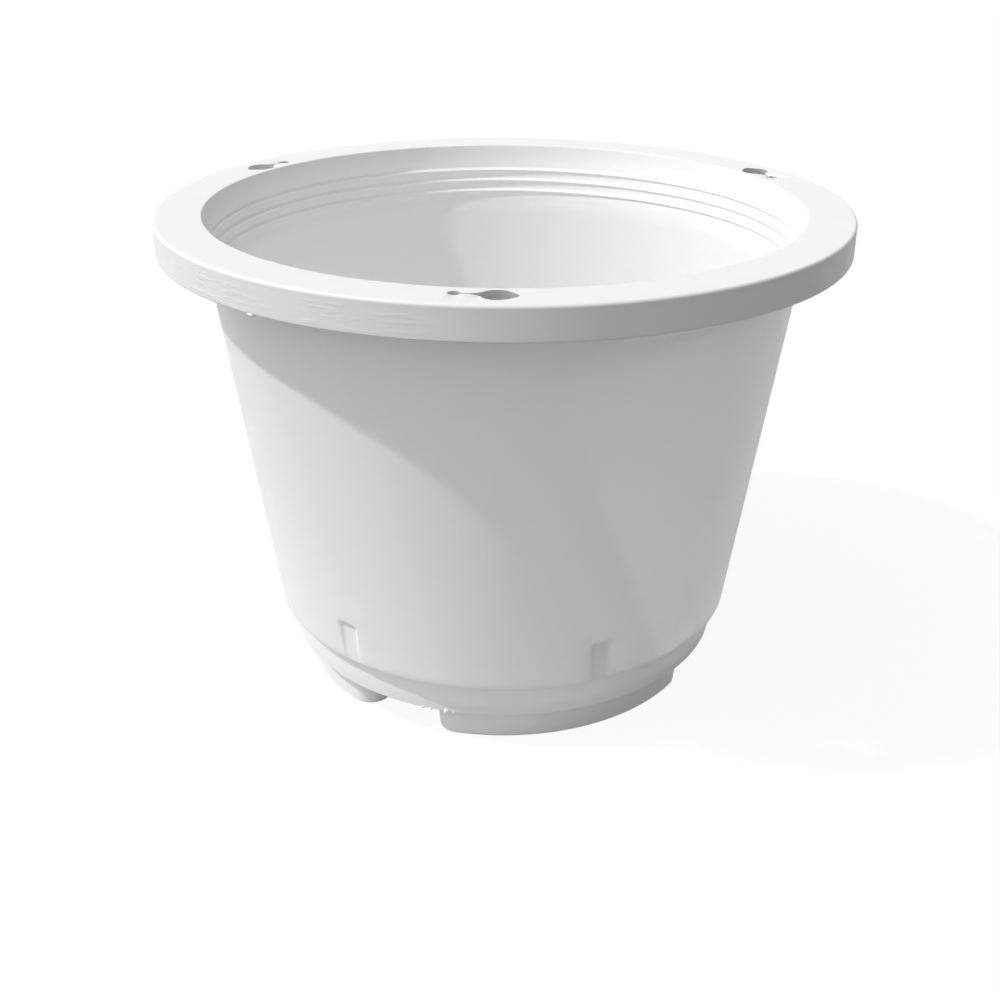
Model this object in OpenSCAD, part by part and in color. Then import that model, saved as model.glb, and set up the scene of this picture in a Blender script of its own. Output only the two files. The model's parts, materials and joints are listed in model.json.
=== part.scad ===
// Round tapered plant pot with a wide flat rim, three hanging keyholes,
// three ribs inside the mouth, six shallow recesses low on the wall and
// four arc-shaped feet under a set-in base band.
// The origin is on the pot's axis, level with the bottom of the feet.

/* [Rim] */
// Height of the whole pot, from the feet to the rim's top face
pot_h = 151.5; // [145:0.5:165]
// Outside diameter of the rim
rim_d = 210; // [170:1:260]
// Width of the flange, from the wall's outside to the rim's outside
flange_w = 11.5; // [11.2:0.1:14]
// Thickness of the flat flange round the mouth
flange_t = 2; // [1.6:0.1:3]
// Height of the rim's outer face, flange and skirt together
skirt_h = 9; // [6:0.5:14]
// Wall of the skirt that hangs from the flange
skirt_t = 1.8; // [1.2:0.1:2.2]
// Rounding of the rim's top outer edge
rim_edge_r = 1.2; // [0.4:0.1:1.5]
// Rounding of the thin edges at the mouth and under the skirt
thin_edge_r = 0.4; // [0.2:0.1:0.5]

/* [Wall] */
// How far the wall tapers in, from the rim's top face to its lower edge
wall_taper = 17.1; // [10:0.1:26]
// Thickness of the wall
wall_t = 1.6; // [1.3:0.1:2]
// Depth of the collar that carries the ribs, from the rim's top face
collar_h = 20; // [18:0.5:30]

/* [Ribs inside the mouth] */
// Number of ribs
rib_n = 3; // [0:1:3]
// Height of a rib along the wall
rib_h = 2; // [1.4:0.1:2.6]
// How far a rib stands out of the wall
rib_out = 0.7; // [0.3:0.1:0.9]
// Distance from one rib to the next
rib_pitch = 3.75; // [3:0.05:4]
// Depth of the first rib's middle below the rim's top face
rib_drop = 8.3; // [5:0.1:8.6]

/* [Keyholes in the flange] */
// Number of keyholes
key_n = 3; // [2:1:4]
// Distance from the rim's outside to the circle that the holes sit on
key_inset = 7; // [6.6:0.1:7.2]
// Diameter of the entry hole
key_big_d = 8.5; // [6:0.1:8.7]
// Diameter of the seat hole
key_small_d = 3.5; // [2.5:0.1:4.5]
// Distance between the middles of the two holes
key_reach = 11; // [10:0.5:14]
// Width of the slot that joins them
key_slot_w = 1; // [0.8:0.1:1.6]
// Width of the slot's mouth at the entry hole
key_mouth_w = 3.2; // [2:0.1:3.6]
// Length of the taper from the entry hole's edge to the slot
key_taper_l = 1.9; // [1:0.1:2.4]

/* [Recesses low on the wall] */
// Number of recesses
recess_n = 6; // [0:1:8]
// Width of a recess at its top
recess_top_w = 7; // [5:0.1:9]
// Width of a recess at the wall's lower edge
recess_low_w = 6.2; // [4:0.1:8]
// Height of a recess
recess_h = 14; // [8:0.5:18]
// Depth of a recess at the wall's lower edge
recess_in = 0.8; // [0.5:0.1:1]
// Thickness of the plastic behind a recess
recess_back_t = 1.4; // [1:0.1:1.8]
// Height of the wall ring that carries the recesses
recess_ring_h = 20; // [20:0.5:30]
// Turn of the base pattern in degrees, from a keyhole to a recess
base_turn_deg = 23.5; // [0:0.5:60]

/* [Base band and floor] */
// Height of the band between the wall's lower edge and the feet
band_h = 11.9; // [8:0.1:16]
// Width of the step in from the wall's lower edge to the band
lip_step = 3.1; // [2:0.1:4.5]
// How far the band tapers in towards its bottom
band_taper = 1.6; // [0.4:0.1:3]
// Wall of the band
band_t = 1.8; // [1.4:0.1:2.4]
// Thickness of the shelf that carries the wall on the band
shelf_t = 1.6; // [1.2:0.1:2.4]
// Thickness of the floor
floor_t = 1.8; // [1.4:0.1:2.6]

/* [Drain holes] */
// Diameter of the drain hole in the middle
middle_drain_d = 12; // [6:0.5:20]
// Number of drain holes round it
ring_drain_n = 6; // [3:1:10]
// Diameter of each drain hole in the ring
ring_drain_d = 8; // [4:0.5:12]
// Distance from the feet's inside to these holes
ring_drain_gap = 16.7; // [6:0.1:20]

/* [Feet] */
// Height of the feet below the band
foot_h = 11.2; // [6:0.1:16]
// Width of the step in from the band's bottom to the outside of the feet
foot_step = 4; // [1:0.1:6]
// Width of a foot, from its outside to its inside; its ends are full rounds
foot_w = 13; // [9:0.2:17]
// Thickness of a foot's walls and bottom
foot_t = 1.6; // [1.2:0.1:2.4]
// Angle that each long foot spans, in degrees
long_foot_deg = 78.6; // [70:0.1:86]
// Angle that each short foot spans, in degrees
short_foot_deg = 58; // [48:0.5:64]

/* [Hidden] */
$fn = 96;
// Overrun of a cut past the surface that it opens
cut = 1;
// How much a foot's round ends swell past its sides, so that no two curves only touch
end_swell = 0.03;
// Direction of the first keyhole and of the pot's front in degrees, seen from above
front_deg = 270;

rim_r = rim_d / 2;
wall_top_r = rim_r - flange_w;
key_circle_r = rim_r - key_inset;
lip_r = wall_top_r - wall_taper;
band_top_r = lip_r - lip_step;
band_low_r = band_top_r - band_taper;
foot_r = band_low_r - foot_step;
ring_drain_circle_r = foot_r - foot_w - ring_drain_gap - ring_drain_d / 2;

// Levels above the ground
band_z = foot_h;
floor_z = band_z + floor_t;
lip_z = band_z + band_h;
recess_z = lip_z + recess_h;
ring_z = lip_z + recess_ring_h;
collar_z = pot_h - collar_h;
flange_z = pot_h - flange_t;
skirt_z = pot_h - skirt_h;

recess_face_r = lip_r - recess_in;
rib_curve_r = (rib_h * rib_h / 4 + rib_out * rib_out) / (2 * rib_out);
pattern_deg = front_deg + base_turn_deg;
plastic = [0.93, 0.93, 0.92];

// Radii of the cone that the wall follows, at the height z
function wall_out_r(z) = lip_r + (wall_top_r - lip_r) * (z - lip_z) / (pot_h - lip_z);
function wall_in_r(z) = wall_out_r(z) - wall_t;

// Outside radius of the band and of the floor's edge, at the height z
function band_out_r(z) = band_low_r + (band_top_r - band_low_r) * (z - band_z) / band_h;

// A quarter disc that fills out a chamfered corner, turned by quarter turns
module corner_round(corner, edge_r, turn_deg) {
    translate(corner)
        rotate(turn_deg)
            intersection() {
                circle(r = edge_r);
                square(edge_r);
            }
}

// The part of the tapered wall between two heights, as a cross-section
module wall_section(low_z, high_z) {
    polygon([
        [wall_in_r(low_z), low_z],
        [wall_out_r(low_z), low_z],
        [wall_out_r(high_z), high_z],
        [wall_in_r(high_z), high_z]
    ]);
}

// Cross-section of the flange, with its rounded outer and inner edges
module flange_section() {
    polygon([
        [wall_in_r(flange_z), flange_z],
        [rim_r, flange_z],
        [rim_r, pot_h - rim_edge_r],
        [rim_r - rim_edge_r, pot_h],
        [wall_in_r(pot_h) + thin_edge_r, pot_h],
        [wall_in_r(pot_h), pot_h - thin_edge_r]
    ]);
    corner_round([rim_r - rim_edge_r, pot_h - rim_edge_r], rim_edge_r, 0);
    corner_round([wall_in_r(pot_h) + thin_edge_r, pot_h - thin_edge_r], thin_edge_r, 90);
}

// The opening of one keyhole, its entry hole on the +X axis
module keyhole() {
    seat_deg = -2 * asin(key_reach / key_circle_r / 2);
    big_r = key_big_d / 2;
    depth = flange_t + 2 * cut;
    translate([0, 0, flange_z - cut]) {
        translate([key_circle_r, 0, 0])
            cylinder(d = key_big_d, h = depth);
        rotate(seat_deg)
            translate([key_circle_r, 0, 0])
                cylinder(d = key_small_d, h = depth);
        translate([key_circle_r, 0, 0])
            rotate(seat_deg / 2)
                linear_extrude(depth)
                    polygon([
                        [-key_mouth_w / 2, 0],
                        [-key_mouth_w / 2, -big_r],
                        [-key_slot_w / 2, -big_r - key_taper_l],
                        [-key_slot_w / 2, -key_reach],
                        [key_slot_w / 2, -key_reach],
                        [key_slot_w / 2, -big_r - key_taper_l],
                        [key_mouth_w / 2, -big_r],
                        [key_mouth_w / 2, 0]
                    ]);
    }
}

module rim_flange() {
    color(plastic)
        difference() {
            rotate_extrude()
                flange_section();
            for (i = [0 : key_n - 1])
                rotate(front_deg + i * 360 / key_n)
                    keyhole();
        }
}

module rim_skirt() {
    in_r = rim_r - skirt_t;
    color(plastic)
        rotate_extrude() {
            polygon([
                [in_r, flange_z],
                [in_r, skirt_z + thin_edge_r],
                [in_r + thin_edge_r, skirt_z],
                [rim_r - thin_edge_r, skirt_z],
                [rim_r, skirt_z + thin_edge_r],
                [rim_r, flange_z]
            ]);
            corner_round([rim_r - thin_edge_r, skirt_z + thin_edge_r], thin_edge_r, 270);
            corner_round([in_r + thin_edge_r, skirt_z + thin_edge_r], thin_edge_r, 180);
        }
}

// Cross-section of one rib, cut off where the wall's own plastic starts
module rib_section(z) {
    intersection() {
        translate([wall_in_r(z) - rib_out + rib_curve_r, z])
            circle(r = rib_curve_r);
        translate([wall_in_r(z) - rib_out, z - rib_h])
            square([rib_out + wall_t / 2, 2 * rib_h]);
    }
}

module ribbed_collar() {
    color(plastic)
        rotate_extrude() {
            wall_section(collar_z, flange_z);
            if (rib_n > 0)
                for (i = [0 : rib_n - 1])
                    rib_section(pot_h - rib_drop - i * rib_pitch);
        }
}

module tapered_wall() {
    color(plastic)
        rotate_extrude()
            wall_section(ring_z, collar_z);
}

// Upright prism of one recess on the +X side, from its upright back face outwards
module recess_prism(grow, from_r, to_r, low_z, high_z) {
    low_w = recess_low_w + 2 * grow;
    top_w = recess_top_w + 2 * grow;
    translate([from_r, 0, 0])
        rotate([90, 0, 90])
            linear_extrude(to_r - from_r)
                polygon([
                    [-low_w / 2, low_z],
                    [low_w / 2, low_z],
                    [top_w / 2, high_z],
                    [-top_w / 2, high_z]
                ]);
}

// Places its children at each recess
module each_recess() {
    if (recess_n > 0)
        for (i = [0 : recess_n - 1])
            rotate(pattern_deg + i * 360 / recess_n)
                children();
}

module recess_ring() {
    shelf_z = lip_z + shelf_t;
    shelf_r = band_out_r(lip_z) - band_t;
    pad_z = recess_z + recess_back_t;
    color(plastic)
        difference() {
            union() {
                rotate_extrude() {
                    wall_section(lip_z, ring_z);
                    polygon([
                        [shelf_r, lip_z],
                        [wall_in_r(lip_z) + wall_t / 2, lip_z],
                        [wall_in_r(shelf_z) + wall_t / 2, shelf_z],
                        [shelf_r, shelf_z]
                    ]);
                }
                intersection() {
                    each_recess()
                        recess_prism(recess_back_t, recess_face_r - recess_back_t,
                                     wall_out_r(ring_z), lip_z, pad_z);
                    translate([0, 0, lip_z])
                        cylinder(h = recess_ring_h, r1 = wall_in_r(lip_z) + wall_t / 2,
                                 r2 = wall_in_r(ring_z) + wall_t / 2);
                }
            }
            each_recess()
                recess_prism(0, recess_face_r, wall_out_r(ring_z) + cut, lip_z - cut, recess_z);
        }
}

module base_band() {
    color(plastic)
        rotate_extrude()
            polygon([
                [band_out_r(floor_z) - band_t, floor_z],
                [band_out_r(floor_z), floor_z],
                [band_out_r(lip_z), lip_z],
                [band_out_r(lip_z) - band_t, lip_z]
            ]);
}

// A wedge of the given angle about the +X axis, past the radius far_r
module wedge(deg, far_r) {
    reach = 2 * far_r;
    polygon([
        [0, 0],
        [reach * cos(deg / 2), -reach * sin(deg / 2)],
        [reach * cos(deg / 2), reach * sin(deg / 2)]
    ]);
}

// Arc-shaped slot about the +X axis with full round ends, grown by the given amount
module slot_outline(deg, grow) {
    ring_r = foot_r - foot_w / 2;
    end_r = foot_w / 2 + grow;
    end_deg = deg / 2 - asin(foot_w / 2 / ring_r);
    intersection() {
        difference() {
            circle(r = ring_r + end_r);
            circle(r = ring_r - end_r);
        }
        wedge(2 * end_deg, ring_r + end_r);
    }
    for (side = [-1, 1])
        rotate(side * end_deg)
            translate([ring_r, 0])
                circle(r = end_r + end_swell);
}

// One foot, closed at the bottom and open to the pot above
module foot(span_deg, turn_deg) {
    color(plastic)
        rotate(turn_deg)
            difference() {
                linear_extrude(foot_h)
                    slot_outline(span_deg, 0);
                translate([0, 0, foot_t])
                    linear_extrude(foot_h)
                        slot_outline(span_deg, -foot_t);
            }
}

module floor_plate() {
    color(plastic)
        difference() {
            rotate_extrude()
                polygon([
                    [0, band_z],
                    [band_out_r(band_z), band_z],
                    [band_out_r(floor_z), floor_z],
                    [0, floor_z]
                ]);
            translate([0, 0, band_z - cut]) {
                for (i = [0, 1]) {
                    rotate(pattern_deg + i * 180)
                        linear_extrude(floor_t + 2 * cut)
                            slot_outline(long_foot_deg, -foot_t);
                    rotate(pattern_deg + 90 + i * 180)
                        linear_extrude(floor_t + 2 * cut)
                            slot_outline(short_foot_deg, -foot_t);
                }
                cylinder(d = middle_drain_d, h = floor_t + 2 * cut);
                for (i = [0 : ring_drain_n - 1])
                    rotate(pattern_deg + i * 360 / ring_drain_n)
                        translate([ring_drain_circle_r, 0, 0])
                            cylinder(d = ring_drain_d, h = floor_t + 2 * cut);
            }
        }
}

module front_foot() {
    foot(long_foot_deg, pattern_deg);
}

module right_foot() {
    foot(short_foot_deg, pattern_deg + 90);
}

module back_foot() {
    foot(long_foot_deg, pattern_deg + 180);
}

module left_foot() {
    foot(short_foot_deg, pattern_deg + 270);
}

rim_flange();
rim_skirt();
ribbed_collar();
tapered_wall();
recess_ring();
base_band();
floor_plate();
front_foot();
back_foot();
left_foot();
right_foot();
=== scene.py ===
"""Looks of a round white plastic plant pot with a wide rim that has keyholes for a hanger.

Lengths are in millimetres with z up from the soles of the feet, and MM turns them into Blender's metres.
Angles are in degrees round the pot's axis, and 270 is the front."""
import json
import math

import bmesh
import bpy
from mathutils import Matrix, Vector, noise

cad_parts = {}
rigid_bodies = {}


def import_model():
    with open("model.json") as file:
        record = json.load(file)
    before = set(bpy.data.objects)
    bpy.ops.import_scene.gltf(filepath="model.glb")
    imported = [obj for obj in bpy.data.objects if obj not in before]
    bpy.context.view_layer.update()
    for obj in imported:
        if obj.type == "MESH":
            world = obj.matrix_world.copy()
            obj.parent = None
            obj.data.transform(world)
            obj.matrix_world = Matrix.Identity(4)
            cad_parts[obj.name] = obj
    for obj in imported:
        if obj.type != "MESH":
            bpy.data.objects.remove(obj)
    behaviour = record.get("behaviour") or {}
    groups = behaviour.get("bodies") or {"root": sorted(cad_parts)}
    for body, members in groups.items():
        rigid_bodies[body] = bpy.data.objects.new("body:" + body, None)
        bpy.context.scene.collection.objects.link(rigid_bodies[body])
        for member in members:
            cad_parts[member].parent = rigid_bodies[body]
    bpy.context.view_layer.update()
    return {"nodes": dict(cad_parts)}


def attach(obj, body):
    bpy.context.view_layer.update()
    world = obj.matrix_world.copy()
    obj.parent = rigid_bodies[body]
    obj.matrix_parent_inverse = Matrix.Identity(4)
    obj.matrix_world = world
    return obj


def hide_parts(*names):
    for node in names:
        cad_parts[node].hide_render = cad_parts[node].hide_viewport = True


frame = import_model()

MM = 0.001
COLUMNS = 480   # columns of a plain ring
MERGE = 0.01    # points closer than this are merged after a cut
BURR_SEED = 7   # start of the burrs' noise, which Blender would take from the clock

# Heights
TOP_Z = 152.0           # top of the rim
FLANGE_Z = 149.5        # underside of the rim's flange
SKIRT_Z = 142.4         # lower edge of the rim's skirt
LIP_Z = 23.1            # lower edge of the wall
SHELF_Z = LIP_Z + 1.6   # top of the shelf that joins the wall to the base band
FLOOR_Z = 13.0          # top of the floor
BAND_Z = 11.2           # underside of the floor

# Outside radii
RIM_R = 106.2
WALL_TOP_R = 93.5       # wall, carried on to the top of the rim
LIP_R = 76.4            # wall, at its lower edge
BAND_TOP_R = 73.7
BAND_LOW_R = 72.4

# Thicknesses
SKIRT_T = 1.8
WALL_T = 1.6
BAND_T = 1.8

# Inside radii
MOUTH_R = WALL_TOP_R - WALL_T
SHELF_R = BAND_TOP_R - BAND_T

BASE_DEG = 293.5        # middle of the front foot, and of the recess above it
WALL_SLOPE = (WALL_TOP_R - LIP_R) / (TOP_Z - LIP_Z)


def cone(z):
    """Outside radius of the wall at the height z."""
    return LIP_R + WALL_SLOPE * (z - LIP_Z)


def band(z):
    """Outside radius of the base band at the height z."""
    return BAND_LOW_R + (BAND_TOP_R - BAND_LOW_R) * (z - BAND_Z) / (LIP_Z - BAND_Z)


def clamp(value, low=0.0, high=1.0):
    """The value, held between low and high."""
    return min(max(value, low), high)


# Mesh helpers

def piece(name, verts, faces, nodes):
    """A mesh from points in millimetres, that stands for CAD nodes."""
    mesh = bpy.data.meshes.new(name)
    mesh.from_pydata([(x * MM, y * MM, z * MM) for x, y, z in verts], [], faces)
    bm = bmesh.new()
    bm.from_mesh(mesh)
    bmesh.ops.recalc_face_normals(bm, faces=bm.faces)
    bm.to_mesh(mesh)
    bm.free()
    obj = bpy.data.objects.new(name, mesh)
    bpy.context.scene.collection.objects.link(obj)
    if nodes:
        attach(obj, "root")
        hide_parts(*nodes)
    return obj


def smooth(obj, deg=38.0):
    """Smooth shading that stays crisp at the sharp edges."""
    obj.data.shade_smooth()
    obj.data.set_sharp_from_angle(angle=math.radians(deg))


def rounded(corners, steps=5, support=0.25):
    """A closed outline through corners (r, z, rounding), with a support point on each side of a rounding."""
    out = []
    n = len(corners)
    for i, (r, z, edge) in enumerate(corners):
        q = Vector((r, z))
        if not edge:
            out.append((r, z))
            continue
        u = (Vector(corners[i - 1][:2]) - q).normalized()
        v = (Vector(corners[(i + 1) % n][:2]) - q).normalized()
        half = u.angle(v) / 2
        run = edge / math.tan(half)
        centre = q + (u + v).normalized() * (edge / math.sin(half))
        start = q + u * run - centre
        sweep = (math.pi - 2 * half) * (1 if u.cross(v) < 0 else -1)
        out.append(tuple(q + u * (run + support)))
        for k in range(steps + 1):
            out.append(tuple(centre + Matrix.Rotation(sweep * k / steps, 2) @ start))
        out.append(tuple(q + v * (run + support)))
    return out


def grid_faces(rows, columns):
    """Faces of a grid that closes on itself both ways."""
    faces = []
    for c in range(columns):
        here, after = c * rows, (c + 1) % columns * rows
        faces += [(here + k, after + k, after + (k + 1) % rows, here + (k + 1) % rows) for k in range(rows)]
    return faces


def revolve(name, profile, nodes):
    """A closed ring with the given profile (r, z)."""
    verts = []
    for c in range(COLUMNS):
        a = 2 * math.pi * c / COLUMNS
        verts += [(r * math.cos(a), r * math.sin(a), z) for r, z in profile]
    return piece(name, verts, grid_faces(len(profile), COLUMNS), nodes)


def prism(name, outline, low_z, high_z, low_outline=None):
    """An upright prism, used as a cutter, that can widen towards its lower end."""
    n = len(outline)
    verts = [(x, y, low_z) for x, y in low_outline or outline]
    verts += [(x, y, high_z) for x, y in outline]
    faces = [(k, (k + 1) % n, n + (k + 1) % n, n + k) for k in range(n)]
    faces += [tuple(range(n))[::-1], tuple(range(n, 2 * n))]
    return piece(name, verts, faces, ())


def baked(obj):
    """Applies the modifiers of a piece, and merges the points that they leave on top of each other."""
    evaluated = obj.evaluated_get(bpy.context.evaluated_depsgraph_get())
    mesh = bpy.data.meshes.new_from_object(evaluated)
    bm = bmesh.new()
    bm.from_mesh(mesh)
    bmesh.ops.remove_doubles(bm, verts=bm.verts, dist=MERGE * MM)
    bmesh.ops.dissolve_degenerate(bm, edges=bm.edges, dist=MERGE * MM)
    bm.to_mesh(mesh)
    bm.free()
    old = obj.data
    obj.modifiers.clear()
    obj.data = mesh
    bpy.data.meshes.remove(old)


def cut(obj, cutters):
    """Cuts the cutters out of a piece and removes them."""
    for cutter in cutters:
        mod = obj.modifiers.new("cut", "BOOLEAN")
        mod.operation = "DIFFERENCE"
        mod.solver = "EXACT"
        mod.object = cutter
    baked(obj)
    for cutter in cutters:
        bpy.data.objects.remove(cutter)


def soften(obj, chosen, width, segments=2):
    """Rounds the sharp edges whose middle the test accepts."""
    name = "bevel_weight_edge"
    bm = bmesh.new()
    bm.from_mesh(obj.data)
    layer = bm.edges.layers.float.get(name) or bm.edges.layers.float.new(name)
    for e in bm.edges:
        if len(e.link_faces) == 2 and e.calc_face_angle(0) > math.radians(50):
            middle = (e.verts[0].co + e.verts[1].co) / 2 / MM
            if chosen(middle):
                e[layer] = 1.0
    bm.to_mesh(obj.data)
    bm.free()
    mod = obj.modifiers.new("soft", "BEVEL")
    mod.limit_method = "WEIGHT"
    mod.width = width * MM
    mod.segments = segments
    mod.use_clamp_overlap = True
    baked(obj)


def burr(obj, r, deg, z, wide, high):
    """Adds a small irregular lump of flash to a piece, at a place given by radius, angle and height."""
    noise.seed_set(BURR_SEED)
    bm = bmesh.new()
    bm.from_mesh(obj.data)
    a = math.radians(deg)
    spot = Matrix.Translation(Vector((r * math.cos(a), r * math.sin(a), z)) * MM)
    shape = Matrix.Diagonal((high * MM, wide * MM, high * MM, 1))
    placed = spot @ Matrix.Rotation(a, 4, "Z") @ shape
    made = bmesh.ops.create_icosphere(bm, subdivisions=3, radius=0.5, matrix=placed)
    for v in made["verts"]:
        v.co += noise.noise_vector(v.co / (0.6 * MM)) * (0.12 * high * MM)
    for f in {f for v in made["verts"] for f in v.link_faces}:
        f.smooth = True
    bm.to_mesh(obj.data)
    bm.free()


def turned(points, deg):
    """Points (x, y) turned about the pot's axis."""
    c, s = math.cos(math.radians(deg)), math.sin(math.radians(deg))
    return [(x * c - y * s, x * s + y * c) for x, y in points]


# Rim: a flat flange with three keyholes, and the skirt that hangs from its edge

CUT_PAST = 1.0                # how far cutters reach past a face

KEY_DEGS = (270, 30, 150)
KEY_R = 97.7                  # from the axis to the middle of the entry hole
KEY_ENTRY_R = 4.25            # entry hole
KEY_SEAT_R = 1.75             # seat
KEY_REACH = 10.6              # between the middles of the two
KEY_TILT_DEG = 4.0            # how far the slot turns away from the rim's run
KEY_SLOT = 0.35               # half of the slot's width
KEY_THROAT = 1.6              # half of the opening from the entry hole into the neck
KEY_NECK = 2.2                # length of the neck, where the opening narrows to the slot
KEY_NOSE = 0.28               # how much the entry hole's far end is drawn out, as a share of its radius
KEY_WIDER = 1.8               # growth of the keyhole at the flange's underside
KEY_SOFT = 0.2                # rounding of the keyhole's upper edge

NICK_DEGS = (109.1, 112.7)
NICK_DEEP = 0.8


def keyhole_outline(grow=0.0, steps=40):
    """Outline of the keyhole with its entry hole on +X and its seat clockwise of it."""
    seat_turn = -2 * math.asin(KEY_REACH / KEY_R / 2) - 2 * math.radians(KEY_TILT_DEG)
    along = Vector((KEY_R * math.cos(seat_turn) - KEY_R, KEY_R * math.sin(seat_turn))).normalized()
    across = Vector((-along.y, along.x))
    entry = KEY_ENTRY_R + grow
    seat = KEY_SEAT_R + 0.8 * grow
    slot = KEY_SLOT + 0.4 * grow
    throat = KEY_THROAT + 0.3 * grow
    neck = entry + KEY_NECK - 1.2 * grow
    out = []

    def put(u, v):
        out.append((KEY_R + u * along.x + v * across.x, u * along.y + v * across.y))

    a = math.asin(throat / entry)
    for k in range(steps + 1):
        t = a + (2 * math.pi - 2 * a) * k / steps
        nose = 1 + KEY_NOSE * max(0.0, -math.cos(t)) ** 8
        put(entry * nose * math.cos(t), entry * math.sin(t))
    put(neck, -slot)
    b = math.asin(slot / seat)
    for k in range(steps // 2 + 1):
        t = math.pi + b + (2 * math.pi - 2 * b) * k / (steps // 2)
        put(KEY_REACH + seat * math.cos(t), seat * math.sin(t))
    put(neck, slot)
    return out


def near_keyhole(p):
    """True on the upper edge of a keyhole, from its entry hole's nose to the end of its seat."""
    if p.z < TOP_Z - 0.5 or abs(math.hypot(p.x, p.y) - KEY_R) > 5.5:
        return False
    deg = math.degrees(math.atan2(p.y, p.x))
    return any(-11 < (deg - t + 180) % 360 - 180 < 4 for t in KEY_DEGS)


flange = revolve("moulded_flange", rounded([
    (cone(FLANGE_Z) - WALL_T, FLANGE_Z, 0),
    (RIM_R, FLANGE_Z, 0),
    (RIM_R, TOP_Z, 0.9),
    (MOUTH_R, TOP_Z, 0.45),
], 7), ["rim_flange"])
nick = [(MOUTH_R - 0.5, -0.45), (MOUTH_R + 0.35, -0.12), (MOUTH_R + 0.3, 0.2), (MOUTH_R - 0.5, 0.5)]
cutters = [prism("key_cutter", turned(keyhole_outline(), t), FLANGE_Z - CUT_PAST, TOP_Z + 0.05,
                 turned(keyhole_outline(KEY_WIDER), t)) for t in KEY_DEGS]
cutters += [prism("nick_cutter", turned(nick, t), TOP_Z - NICK_DEEP, TOP_Z + CUT_PAST) for t in NICK_DEGS]
cut(flange, cutters)
soften(flange, near_keyhole, KEY_SOFT)
smooth(flange)
for deg, wide in ((222.0, 0.9), (224.5, 0.6), (230.1, 1.3), (232.4, 0.7)):
    burr(flange, MOUTH_R + 0.1, deg, TOP_Z - 0.12, wide, 0.4)

skirt = revolve("moulded_skirt", rounded([
    (RIM_R - SKIRT_T, FLANGE_Z, 0),
    (RIM_R - SKIRT_T, SKIRT_Z, 0.4),
    (RIM_R, SKIRT_Z, 0.5),
    (RIM_R, FLANGE_Z, 0),
]), ["rim_skirt"])
smooth(skirt)
for deg, up, wide, high in ((233.4, -0.05, 3.0, 1.5), (286.0, 0.05, 2.6, 0.5), (262.0, 0.05, 3.2, 0.45)):
    burr(skirt, RIM_R - 0.6, deg, SKIRT_Z + up, wide, high)

# Body: collar with ribs, wall with recesses at its foot, and base band

RIB_Z = (143.2, 139.45, 135.7)
RIB_OUT = 0.68            # how far a rib stands out
RIB_HALF = 0.85           # half of a rib's height
RIB_ROWS = 17

RECESSES = 6
RECESS_STEP = 360 / RECESSES
RECESS_TOP = 37.1         # height of the recess's upper end
RECESS_LOW_DEEP = 0.2     # depth at the lip
RECESS_TOP_DEEP = 1.15    # depth at the upper end
RECESS_LOW_HALF = 2.6     # half of the width at the lip
RECESS_TOP_HALF = 3.0     # half of the width at the upper end
RECESS_SIDE = 0.9         # how far the sloping side reaches into the recess
RECESS_SIDE_WIDE = 2.1    # width of the sloping side
RECESS_CLEAR = 5.0        # where the plain columns begin on each side of a recess, in degrees
PLAIN_COLUMNS = 67        # plain columns from one recess to the next

PAD_X = LIP_R - 4.2       # inner face of the pad behind a recess, from the axis
PAD_TOP = 38.5
PAD_EDGE = 1.2            # how far the pad is wider than the recess, on each side
LIP_ROUND = 0.35


def inside(z):
    """Inside radius of the wall, with the collar's ribs."""
    out = 0.0
    for mid in RIB_Z:
        t = abs(z - mid) / RIB_HALF
        if t < 1:
            out = RIB_OUT * (0.5 + 0.5 * math.cos(math.pi * t)) ** 0.8
    return cone(z) - WALL_T - out


def face(z):
    """Distance of a recess's flat face from the pot's axis at the height z."""
    up = (z - LIP_Z) / (RECESS_TOP - LIP_Z)
    return cone(z) - RECESS_LOW_DEEP - (RECESS_TOP_DEEP - RECESS_LOW_DEEP) * up


def plain(levels, radius):
    """Rows of the body that run all the way round, from their levels."""
    return [((radius(z), z),) * 2 for z in levels]


def outer_rows():
    """Outer rows from the floor up, as pairs of (r, z): on the plain wall, and in a recess."""
    rows = plain((FLOOR_Z, 15.0, 17.0, 19.0, 21.0, 22.6, LIP_Z), band)
    rows += [((LIP_R - 0.6, LIP_Z), (face(LIP_Z) - 0.6, LIP_Z))]
    for k in range(5):
        t = math.radians(22.5 * k)
        out, up = LIP_ROUND * math.sin(t), LIP_ROUND * (1 - math.cos(t))
        rows.append(((LIP_R - LIP_ROUND + out, LIP_Z + up), (face(LIP_Z) - LIP_ROUND + out, LIP_Z + up)))
    rows += [((cone(z), z), (face(z), z)) for z in (23.7, 26.0, 29.0, 32.0, 35.0, 36.4)]
    # The recess's upper end curves out into the wall: height on the wall, height in the recess, depth
    upper_end = ((36.6, 36.75, 1.2), (36.8, 37.0, 1.05), (37.0, 37.12, 0.85), (37.2, 37.2, 0.6),
                 (37.45, 37.35, 0.3), (37.7, 37.6, 0.06), (38.0, 38.0, -0.08))
    rows += [((cone(z), z), (cone(RECESS_TOP) - deep, z_in)) for z, z_in, deep in upper_end]
    rows += plain((38.4, 39.5, 41.0), cone)
    rows += plain(range(46, 126, 8), cone)
    rows += plain(range(126, 150, 6), cone)
    rows += plain((FLANGE_Z,), cone)
    return rows


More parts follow.
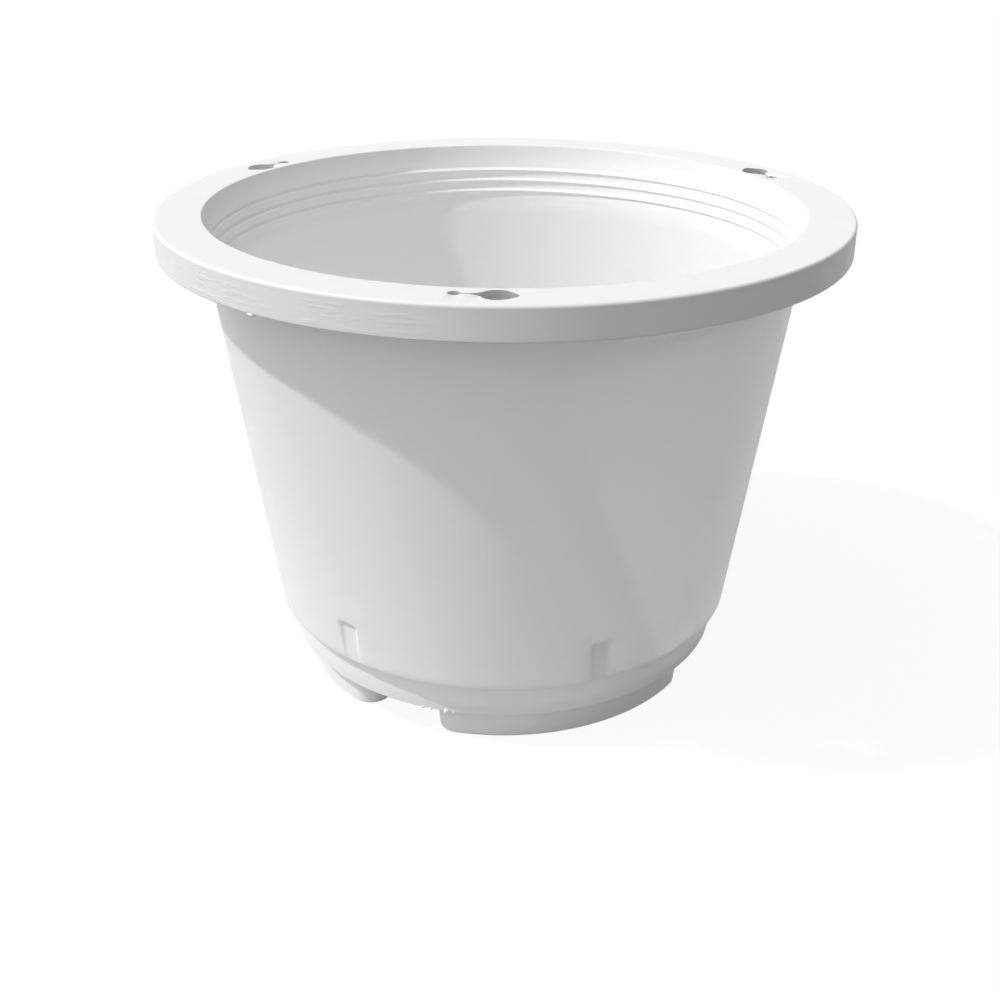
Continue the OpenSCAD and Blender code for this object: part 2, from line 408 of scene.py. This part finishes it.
def inner_rows():
    """Inner rows from the flange down, as pairs of (r, z): on the plain wall, and at a recess's pad."""
    rows = plain((FLANGE_Z, 148.0, 146.0, 145.0), inside)
    for mid in RIB_Z:
        rows += plain([mid + RIB_HALF * (1.1 - 2.2 * k / (RIB_ROWS - 1)) for k in range(RIB_ROWS)], inside)
    rows += plain((133.8, 132.6, 130.0), inside)
    rows += plain(range(124, 44, -8), inside)
    rows += plain((46.0, 41.0, 39.2), inside)
    rows += [((inside(38.9), 38.9), (inside(PAD_TOP), PAD_TOP)),
             ((inside(38.6), 38.6), (PAD_X + 0.3, PAD_TOP)),
             ((inside(38.3), 38.3), (PAD_X, PAD_TOP - 0.3))]
    rows += [((inside(z), z), (PAD_X, z)) for z in (36.0, 32.0, 28.0, SHELF_Z)]
    rows += [((SHELF_R - 0.4, SHELF_Z),) * 2]
    rows += plain((LIP_Z, 18.0, FLOOR_Z), lambda z: band(z) - BAND_T)
    return rows


def body_columns():
    """Columns of the body: plain ones by angle, and ones beside a recess by their distance from its side."""
    found = []
    sides = (-RECESS_SIDE, -0.55, -0.25, 0.05, 0.4, 0.8, PAD_EDGE, PAD_EDGE + 0.2, 2.0)
    for i in range(RECESSES):
        mid = BASE_DEG + RECESS_STEP * i
        found += [(mid, "side", -1, d) for d in reversed(sides)]
        found += [(mid, "middle", f, 0) for f in (-0.75, -0.5, -0.25, 0.0, 0.25, 0.5, 0.75)]
        found += [(mid, "side", 1, d) for d in sides]
        between = (RECESS_STEP - 2 * RECESS_CLEAR) / (PLAIN_COLUMNS - 1)
        found += [(mid + RECESS_CLEAR + between * k, "plain", 0, 0) for k in range(PLAIN_COLUMNS)]
    return found


def body_point(column, pair, outside):
    """The point of one column and row."""
    mid, kind, share, gap = column
    (r, z), (x_in, z_in) = pair
    a = math.radians(mid)
    if kind == "plain":
        return (r * math.cos(a), r * math.sin(a), z)
    up = clamp((z - LIP_Z) / (RECESS_TOP - LIP_Z))
    half = RECESS_LOW_HALF + (RECESS_TOP_HALF - RECESS_LOW_HALF) * up
    y = share * (half + gap) if kind == "side" else share * (half - RECESS_SIDE)
    x = math.sqrt(r * r - y * y)
    full = 1.0
    if kind == "side" and outside:
        full = 0.5 + 0.5 * math.cos(math.pi * clamp((gap + RECESS_SIDE) / RECESS_SIDE_WIDE))
    elif kind == "side" and gap > PAD_EDGE:
        full = 0.0
    to_x = x_in if x_in < r - 0.02 else math.sqrt(x_in * x_in - y * y)
    x, z = x + (to_x - x) * full, z + (z_in - z) * full
    return (x * math.cos(a) - y * math.sin(a), x * math.sin(a) + y * math.cos(a), z)


body_outer, body_inner = outer_rows(), inner_rows()
body_points = []
for column in body_columns():
    body_points += [body_point(column, pair, True) for pair in body_outer]
    body_points += [body_point(column, pair, False) for pair in body_inner]
body = piece("moulded_body", body_points,
             grid_faces(len(body_outer) + len(body_inner), len(body_columns())),
             ["ribbed_collar", "tapered_wall", "recess_ring", "base_band"])
smooth(body)

# Base: four feet with open wells, and the floor with its drain holes

FOOT_MID_R = 61.2        # middle line of a foot
FOOT_HALF_W = 6.5        # half of a foot's width
FOOT_WALL = 1.6
SOLE_EDGE = 0.8          # rounding of the sole's edge
LONG_DEG, SHORT_DEG = 78.6, 58.0

CENTRE_HOLE_R = 6.0
DRAIN_AT, DRAIN_R = 34.0, 4.0
DRAINS = 6


def foot_outline(deg, half_w, shift=0.0, arc_steps=40, end_steps=20):
    """Outline of a foot about +X: outer arc, round end, inner arc, round end."""
    mid_r = FOOT_MID_R + shift
    end = math.radians(deg) / 2 - math.asin(FOOT_HALF_W / FOOT_MID_R)
    out = []

    def arc(r, side):
        turns = [side * (2 * end * k / arc_steps - end) for k in range(arc_steps)]
        out.extend((r * math.cos(t), r * math.sin(t)) for t in turns)

    def round_end(side, start):
        turns = [end * side + start + math.pi * k / end_steps for k in range(end_steps)]
        out.extend((mid_r * math.cos(end * side) + half_w * math.cos(t),
                    mid_r * math.sin(end * side) + half_w * math.sin(t)) for t in turns)

    arc(mid_r + half_w, 1)
    round_end(1, 0)
    arc(mid_r - half_w, -1)
    round_end(-1, math.pi)
    return out


def foot(name, deg, turn, node):
    """One foot: drafted outside, rounded sole, and an open well inside."""
    # Rows as growth of the outline, height, and shift of its middle line
    outside = [(0.55, BAND_Z, 0.5), (0.3, 6.0, 0.25), (0.05, 1.2, 0.0)]
    for k in range(6):
        t = math.radians(18 * k)
        outside.append((-SOLE_EDGE * (1 - math.cos(t)), SOLE_EDGE * (1 - math.sin(t)), 0.0))
    outside.append((-1.1, 0.0, 0.0))
    well = [(-0.9, FOOT_WALL), (-0.6, FOOT_WALL), (-0.2, FOOT_WALL + 0.2),
            (0.0, FOOT_WALL + 0.6), (0.0, BAND_Z)]
    rows = outside + [(grow - FOOT_WALL, z, 0.0) for grow, z in well]
    verts, loops, faces = [], [], []
    for grow, z, shift in rows:
        points = turned(foot_outline(deg, FOOT_HALF_W + grow, shift), turn)
        loops.append(range(len(verts), len(verts) + len(points)))
        verts += [(x, y, z) for x, y in points]
    n = len(loops[0])

    def join(a, b):
        for k in range(n):
            m = (k + 1) % n
            faces.append((loops[a][k], loops[a][m], loops[b][m], loops[b][k]))

    sole, bottom, brim = len(outside) - 1, len(outside), len(rows) - 1
    for a in range(sole):
        join(a, a + 1)
    faces.append(tuple(loops[sole]))
    for a in range(bottom, brim):
        join(a, a + 1)
    faces.append(tuple(loops[bottom]))
    join(brim, 0)
    smooth(piece(name, verts, faces, [node]))


# The front foot is 1.8 degrees longer, at its left end
feet = (("moulded_front_foot", LONG_DEG + 1.8, -0.9, "front_foot"),
        ("moulded_right_foot", SHORT_DEG, 90, "right_foot"),
        ("moulded_back_foot", LONG_DEG, 180, "back_foot"),
        ("moulded_left_foot", SHORT_DEG, 270, "left_foot"))
for foot_name, span, turn, node in feet:
    foot(foot_name, span, BASE_DEG + turn, node)

floor = revolve("moulded_floor", rounded([
    (CENTRE_HOLE_R, BAND_Z, 0.3),
    (BAND_LOW_R, BAND_Z, 0.45),
    (band(FLOOR_Z), FLOOR_Z, 0),
    (CENTRE_HOLE_R, FLOOR_Z, 0.3),
], 4), ["floor_plate"])
drain_turns = [math.radians(9 * k) for k in range(40)]
drain = [(DRAIN_AT + DRAIN_R * math.cos(t), DRAIN_R * math.sin(t)) for t in drain_turns]
holes = [("well_cutter", foot_outline(span, FOOT_HALF_W - FOOT_WALL), turn) for _, span, turn, _ in feet]
holes += [("drain_cutter", drain, 360 / DRAINS * k) for k in range(DRAINS)]
cut(floor, [prism(name, turned(outline, BASE_DEG + turn), BAND_Z - CUT_PAST, FLOOR_Z + CUT_PAST)
            for name, outline, turn in holes])
smooth(floor)
for deg, wide, high in ((251.0, 1.5, 0.9), (253.2, 1.1, 0.8), (257.2, 1.7, 1.6), (259.0, 0.9, 0.8)):
    burr(floor, BAND_LOW_R - 0.1, deg, BAND_Z + 0.1, wide, high)


# Shader helpers

def calc(tree, kind, a, b):
    """A Math node over two sockets or numbers."""
    node = tree.nodes.new("ShaderNodeMath")
    node.operation = kind
    for socket, value in zip(node.inputs, (a, b)):
        if isinstance(value, (int, float)):
            socket.default_value = value
        else:
            tree.links.new(value, socket)
    return node.outputs[0]


def product(tree, first, *others):
    """The product of sockets or numbers."""
    for other in others:
        first = calc(tree, "MULTIPLY", first, other)
    return first


def ramp(tree, value, span, ends):
    """Takes the span of a socket to the two ends, and holds them outside the span."""
    node = tree.nodes.new("ShaderNodeMapRange")
    for socket, level in zip(("From Min", "From Max", "To Min", "To Max"), span + ends):
        node.inputs[socket].default_value = level
    tree.links.new(value, node.inputs["Value"])
    return node.outputs["Result"]


def ramp_mm(tree, value, span, ends):
    """A ramp over a length, with its span in millimetres."""
    return ramp(tree, value, (span[0] * MM, span[1] * MM), ends)


def noise_map(tree, where, scale, detail, rough=0.5):
    """Noise at the given places."""
    node = tree.nodes.new("ShaderNodeTexNoise")
    node.inputs["Scale"].default_value = scale
    node.inputs["Detail"].default_value = detail
    node.inputs["Roughness"].default_value = rough
    tree.links.new(where, node.inputs["Vector"])
    return node.outputs["Fac"]


def blend(tree, factor, low, high):
    """Mixes two colours, each a socket or a fixed colour."""
    node = tree.nodes.new("ShaderNodeMix")
    node.data_type = "RGBA"
    sockets = {s.identifier: s for s in node.inputs}
    tree.links.new(factor, sockets["Factor_Float"])
    for socket, value in ((sockets["A_Color"], low), (sockets["B_Color"], high)):
        if isinstance(value, tuple):
            socket.default_value = value
        else:
            tree.links.new(value, socket)
    return node.outputs[2]


def bump(tree, height, strength, distance, under=None):
    """Bumps from a height, over the bumps given as under."""
    node = tree.nodes.new("ShaderNodeBump")
    node.inputs["Strength"].default_value = strength
    node.inputs["Distance"].default_value = distance
    tree.links.new(height, node.inputs["Height"])
    if under:
        tree.links.new(under, node.inputs["Normal"])
    return node.outputs["Normal"]


# Plastic

# Colours: the uneven white goes from dim to pale, and the rest lie over it
MOULDED_DIM = (0.83, 0.83, 0.825, 1)
MOULDED_PALE = (0.86, 0.86, 0.86, 1)
SCUFFED = (0.86, 0.86, 0.85, 1)
SPECK = (0.5, 0.49, 0.47, 1)
# The rim's top is painted darker than the rest: painted shade for the strong light that falls on it from
# above
RIM_TOP_PAINTED_SHADE = (0.815, 0.815, 0.81, 1)
# Paler white that the plastic takes where it lets light through, and in the collar: painted light for light
# that passes the wall and bounces inside
PAINTED_LIGHT_WHITE = (0.97, 0.97, 0.965, 1)

# Light through the plastic
LIGHT_REACH = 4.0          # how far it spreads inside
WALL_LIGHT = 0.95          # weight at the wall
BAND_LIGHT = 0.4           # share of it at the base band
RIBS_CUT = 0.9             # share of it that the collar's ribs take away
COLLAR_PAINTED_LIGHT = 0.5          # how far the collar is painted with the paler white, as painted light

# Heights over which the looks change, from the floor up
FLOOR_FADE = (13.2, 16)    # light begins to pass
LIP_FADE = (22.4, 24.0)    # from the base band's light to the wall's
RIBS_FADE = (128, 134)     # the collar's ribbed side begins
RIM_FADE = (143, 148.5)    # light stops passing
PAINTED_LIGHT_FADE = (146, 149.4)   # the collar's painted light ends
TOP_SHADE_FADE = (149.6, 151.9)  # from the plastic's colour to the rim top's painted shade

# Where a pad behind a recess keeps the light out, and where the recess is painted darker as painted shade
PAD_BEGINS = (22.6, 23.2)  # heights over which it begins
PAD_ENDS = (36.6, 38.2)    # heights over which it ends
PAD_SIDES = (2.7, 4.2)     # distances to each side over which it ends

# Scuffs, with the heights over which they begin and end
WORN_DEG = 221.0           # middle of the scuffed part of the skirt
WORN_FADE = (78, 100)      # distances towards it over which scuffs get many
STREAK_STRETCH = 5         # how many times as long as high the scuffs are
SCUFFS_BEGIN = (142.8, 143.6)
SCUFFS_END = (149.6, 150.4)

# How many waves or cells of each pattern go into a metre
STREAKS = 650
PATCHES = 34
SPECKS = 110
CLOUDS = 28                # the uneven white
SHEEN = 160
WAVES = 20
GRAIN = 1400


def light_through(tree, x, y, z):
    """How much light the plastic lets in, and how far it is painted paler as painted light: nearly all at
    the wall, less at the base band, and little at the collar's ribs. None at the recesses, which have pads
    behind them and get painted shade, at the rim's top and at the floor."""
    turn = calc(tree, "SUBTRACT", calc(tree, "ARCTAN2", y, x), math.radians(BASE_DEG))
    aside = calc(tree, "PINGPONG", turn, math.radians(RECESS_STEP / 2))
    pad_turns = tuple(gap / LIP_R for gap in PAD_SIDES)
    # Painted shade: the recesses lose the paler white as well as the light that passes
    padded_shade = product(tree, ramp(tree, aside, pad_turns, (1.0, 0.0)),
                     ramp_mm(tree, z, PAD_ENDS, (1.0, 0.0)),
                     ramp_mm(tree, z, PAD_BEGINS, (0.0, 1.0)))
    wall_r = calc(tree, "ADD", calc(tree, "MULTIPLY", z, WALL_SLOPE), (LIP_R - WALL_SLOPE * LIP_Z) * MM)
    here_r = calc(tree, "POWER", calc(tree, "ADD", product(tree, x, x), product(tree, y, y)), 0.5)
    inner_side = ramp_mm(tree, calc(tree, "SUBTRACT", here_r, wall_r), (-1.3, -0.5), (1.0, 0.0))
    ribbed = product(tree, inner_side, ramp_mm(tree, z, RIBS_FADE, (0.0, RIBS_CUT)))
    return product(tree, ramp_mm(tree, z, RIM_FADE, (WALL_LIGHT, 0.0)),
                   ramp_mm(tree, z, FLOOR_FADE, (0.0, BAND_LIGHT)),
                   ramp_mm(tree, z, LIP_FADE, (1.0, 1 / BAND_LIGHT)),
                   calc(tree, "SUBTRACT", 1.0, ribbed),
                   calc(tree, "SUBTRACT", 1.0, padded_shade))


def scuff_marks(tree, place, x, y, z):
    """Scuffs that run along the skirt, in patches, mostly on its worn side."""
    around = tree.nodes.new("ShaderNodeCombineXYZ")
    turn = calc(tree, "ARCTAN2", x, calc(tree, "MULTIPLY", y, -1.0))
    tree.links.new(calc(tree, "MULTIPLY", turn, RIM_R * MM / STREAK_STRETCH), around.inputs[0])
    tree.links.new(z, around.inputs[1])
    streaks = ramp(tree, noise_map(tree, around.outputs[0], STREAKS, 3, 0.6), (0.5, 0.64), (0.0, 1.0))
    patches = ramp(tree, noise_map(tree, place, PATCHES, 2), (0.44, 0.58), (0.0, 1.0))
    on_skirt = product(tree, ramp_mm(tree, z, SCUFFS_BEGIN, (0.0, 1.0)),
                       ramp_mm(tree, z, SCUFFS_END, (1.0, 0.0)))
    towards = calc(tree, "ADD", calc(tree, "MULTIPLY", x, math.cos(math.radians(WORN_DEG))),
                   calc(tree, "MULTIPLY", y, math.sin(math.radians(WORN_DEG))))
    worn = ramp_mm(tree, towards, WORN_FADE, (0.15, 1.0))
    return product(tree, streaks, patches, on_skirt, worn)


def speck_marks(tree, place):
    """Sparse small specks."""
    cells = tree.nodes.new("ShaderNodeTexVoronoi")
    cells.inputs["Scale"].default_value = SPECKS
    tree.links.new(place, cells.inputs["Vector"])
    return product(tree, ramp(tree, cells.outputs["Distance"], (0.035, 0.06), (1.0, 0.0)),
                   ramp(tree, cells.outputs["Color"], (0.86, 0.9), (0.0, 1.0)))


def plastic(name, thin):
    """White moulded plastic: slightly uneven white, satin sheen, fine grain, soft waves, specks, scuffs on
    the skirt, and painted shade on the rim's top. Thin plastic also lets light through between the rim and
    the floor, and is painted paler there and in the collar as painted light."""
    mat = bpy.data.materials.new(name)
    mat.use_nodes = True
    tree = mat.node_tree
    shader = tree.nodes["Principled BSDF"]
    shader.inputs["IOR"].default_value = 1.49
    shader.inputs["Specular IOR Level"].default_value = 0.25
    place = tree.nodes.new("ShaderNodeTexCoord").outputs["Object"]
    split = tree.nodes.new("ShaderNodeSeparateXYZ")
    tree.links.new(place, split.inputs[0])
    x, y, z = split.outputs

    scuffs = scuff_marks(tree, place, x, y, z)
    uneven = ramp(tree, noise_map(tree, place, CLOUDS, 4), (0.35, 0.65), (0, 1))
    tone = blend(tree, uneven, MOULDED_DIM, MOULDED_PALE)
    tone = blend(tree, calc(tree, "MULTIPLY", scuffs, 0.35), tone, SCUFFED)
    tone = blend(tree, calc(tree, "MULTIPLY", speck_marks(tree, place), 0.6), tone, SPECK)
    # Painted shade: the colour darkens on the rim's top face, where the sun falls most
    tone = blend(tree, ramp_mm(tree, z, TOP_SHADE_FADE, (0.0, 1.0)), tone, RIM_TOP_PAINTED_SHADE)
    # Painted light: the colour is paler where light passes the plastic, and in the collar, though it is all
    # one plastic
    if thin:
        given = light_through(tree, x, y, z)
        collar = product(tree, ramp_mm(tree, z, RIBS_FADE, (0.0, COLLAR_PAINTED_LIGHT)),
                         ramp_mm(tree, z, PAINTED_LIGHT_FADE, (1.0, 0.0)))
        tone = blend(tree, calc(tree, "MAXIMUM", given, collar), tone, PAINTED_LIGHT_WHITE)
        shader.inputs["Subsurface Radius"].default_value = (1.0, 1.0, 1.0)
        shader.inputs["Subsurface Scale"].default_value = LIGHT_REACH * MM
        tree.links.new(given, shader.inputs["Subsurface Weight"])
    tree.links.new(tone, shader.inputs["Base Color"])
    rough = ramp(tree, noise_map(tree, place, SHEEN, 3), (0.3, 0.7), (0.32, 0.44))
    rough = calc(tree, "ADD", rough, calc(tree, "MULTIPLY", scuffs, 0.15))
    tree.links.new(rough, shader.inputs["Roughness"])

    # Soft waves, then scuffs, then the grain
    surface = bump(tree, noise_map(tree, place, WAVES, 1), 0.2, 0.5 * MM)
    surface = bump(tree, scuffs, 0.6, 0.1 * MM, surface)
    surface = bump(tree, noise_map(tree, place, GRAIN, 2), 0.12, 0.1 * MM, surface)
    tree.links.new(surface, shader.inputs["Normal"])
    return mat


white = plastic("white_moulded_plastic", False)
thin_white = plastic("white_thin_plastic", True)
for obj in list(bpy.data.objects):
    if obj.type == "MESH" and not obj.hide_render:
        obj.data.materials.clear()
        obj.data.materials.append(thin_white if obj is body else white)
for obj in frame["nodes"].values():
    obj.data.materials.clear()
    obj.data.materials.append(white)


# Studio: pale ground, soft light all round, one sun

GROUND_HALF = 6.0                   # half of the ground's width, in metres
GROUND_FADE = (0.12, 0.26)          # distances from the axis, in metres, over which the ground gets duller
GROUND_BOUNCE = (0.42, 0.12)        # share of light that it throws back there, near and far
GROUND_WHITE = (0.95, 0.95, 0.95, 1)
GROUND_EVEN = 0.93                  # share of even white in what the eye sees of the ground


def seen_by_eye(tree):
    """One for rays from the camera, for mirrored rays and for rays through clear stuff, else zero."""
    path = tree.nodes.new("ShaderNodeLightPath").outputs
    return calc(tree, "MAXIMUM", path["Is Camera Ray"],
                calc(tree, "MAXIMUM", path["Is Glossy Ray"], path["Is Transmission Ray"]))


def two_way(tree, low, high):
    """A Mix Shader node over two shader nodes."""
    node = tree.nodes.new("ShaderNodeMixShader")
    tree.links.new(low.outputs[0], node.inputs[1])
    tree.links.new(high.outputs[0], node.inputs[2])
    return node


def ground_material():
    """White with a faint shadow to the eye, and duller to the light that bounces off it."""
    mat = bpy.data.materials.new("white_ground")
    mat.use_nodes = True
    tree = mat.node_tree
    tree.nodes.clear()
    out = tree.nodes.new("ShaderNodeOutputMaterial")
    dull = tree.nodes.new("ShaderNodeBsdfDiffuse")
    from_axis = tree.nodes.new("ShaderNodeVectorMath")
    from_axis.operation = "LENGTH"
    tree.links.new(tree.nodes.new("ShaderNodeTexCoord").outputs["Object"], from_axis.inputs[0])
    grey = ramp(tree, from_axis.outputs["Value"], GROUND_FADE, GROUND_BOUNCE)
    tree.links.new(grey, dull.inputs["Color"])
    pale = tree.nodes.new("ShaderNodeBsdfDiffuse")
    pale.inputs["Color"].default_value = GROUND_WHITE
    glow = tree.nodes.new("ShaderNodeEmission")
    glow.inputs["Strength"].default_value = 1.0
    shown = two_way(tree, pale, glow)
    shown.inputs["Fac"].default_value = GROUND_EVEN
    mixed = two_way(tree, dull, shown)
    tree.links.new(seen_by_eye(tree), mixed.inputs["Fac"])
    tree.links.new(mixed.outputs[0], out.inputs["Surface"])
    return mat


mesh = bpy.data.meshes.new("ground")
corners = [(x * GROUND_HALF, y * GROUND_HALF, 0) for x, y in ((-1, -1), (1, -1), (1, 1), (-1, 1))]
mesh.from_pydata(corners, [], [(0, 1, 2, 3)])
ground = bpy.data.objects.new("ground", mesh)
bpy.context.scene.collection.objects.link(ground)
ground.data.materials.append(ground_material())

# Light from the world: an even part, a part from the left, and a part from the front and above
ALL_ROUND = 0.165
FROM_LEFT = 0.97
FROM_FRONT = 0.37
FRONT_UP = math.radians(38.0)

SUN_ENERGY = 2.18
SUN_ANGLE = math.radians(1.5)
SUN_AZIMUTH = math.radians(193.4)
SUN_HEIGHT = math.radians(52.6)

world = bpy.data.worlds.new("studio")
bpy.context.scene.world = world
world.use_nodes = True
tree = world.node_tree
back = tree.nodes["Background"]
back.inputs["Color"].default_value = (1, 1, 1, 1)
way = tree.nodes.new("ShaderNodeSeparateXYZ")
tree.links.new(tree.nodes.new("ShaderNodeTexCoord").outputs["Generated"], way.inputs[0])
left = calc(tree, "MAXIMUM", calc(tree, "MULTIPLY", way.outputs["X"], -FROM_LEFT), 0.0)
ahead = calc(tree, "MULTIPLY", way.outputs["Y"], -FROM_FRONT * math.cos(FRONT_UP))
above = calc(tree, "MULTIPLY", way.outputs["Z"], FROM_FRONT * math.sin(FRONT_UP))
front = calc(tree, "MAXIMUM", calc(tree, "ADD", ahead, above), 0.0)
level = tree.nodes.new("ShaderNodeMapRange")
tree.links.new(calc(tree, "ADD", calc(tree, "ADD", left, front), ALL_ROUND), level.inputs["To Min"])
level.inputs["To Max"].default_value = 1.0
tree.links.new(seen_by_eye(tree), level.inputs["Value"])
tree.links.new(level.outputs["Result"], back.inputs["Strength"])

sun_data = bpy.data.lights.new("key_light", "SUN")
sun_data.energy = SUN_ENERGY
sun_data.angle = SUN_ANGLE
sun = bpy.data.objects.new("key_light", sun_data)
bpy.context.scene.collection.objects.link(sun)
to_sun = Vector((math.cos(SUN_AZIMUTH) * math.cos(SUN_HEIGHT),
                 math.sin(SUN_AZIMUTH) * math.cos(SUN_HEIGHT),
                 math.sin(SUN_HEIGHT)))
sun.rotation_mode = "QUATERNION"
sun.rotation_quaternion = to_sun.to_track_quat("Z", "Y")

# Camera: where it stands, how it is tipped, and its lens in pixels of the picture

CAM_AZIMUTH = math.radians(271.0)
CAM_FAR = 404.9     # from the pot's axis
CAM_HIGH = 245.5    # above the ground
CAM_PITCH = math.radians(25.825)
CAM_ROLL = math.radians(0.268)
FRAME_PX = 1000
FOCAL_PX = 1309.9
CENTRE_PX = 503.4
SENSOR_MM = 36.0

cam_data = bpy.data.cameras.new("camera")
cam_data.sensor_width = SENSOR_MM
cam_data.lens = FOCAL_PX / FRAME_PX * SENSOR_MM
cam_data.shift_x = -(CENTRE_PX - FRAME_PX / 2) / FRAME_PX
cam_data.clip_start = 0.01
cam_data.clip_end = 50
cam = bpy.data.objects.new("camera", cam_data)
bpy.context.scene.collection.objects.link(cam)
inward = Vector((-math.cos(CAM_AZIMUTH), -math.sin(CAM_AZIMUTH), 0))
forward = inward * math.cos(CAM_PITCH) + Vector((0, 0, -math.sin(CAM_PITCH)))
level_right = forward.cross(Vector((0, 0, 1))).normalized()
level_up = level_right.cross(forward)
right = level_right * math.cos(CAM_ROLL) + level_up * math.sin(CAM_ROLL)
up = level_up * math.cos(CAM_ROLL) - level_right * math.sin(CAM_ROLL)
rotation = Matrix((right, up, -forward)).transposed().to_4x4()
at = Vector((CAM_FAR * math.cos(CAM_AZIMUTH), CAM_FAR * math.sin(CAM_AZIMUTH), CAM_HIGH)) * MM
cam.matrix_world = Matrix.Translation(at) @ rotation
bpy.context.scene.camera = cam

bpy.context.scene.view_settings.view_transform = "Standard"
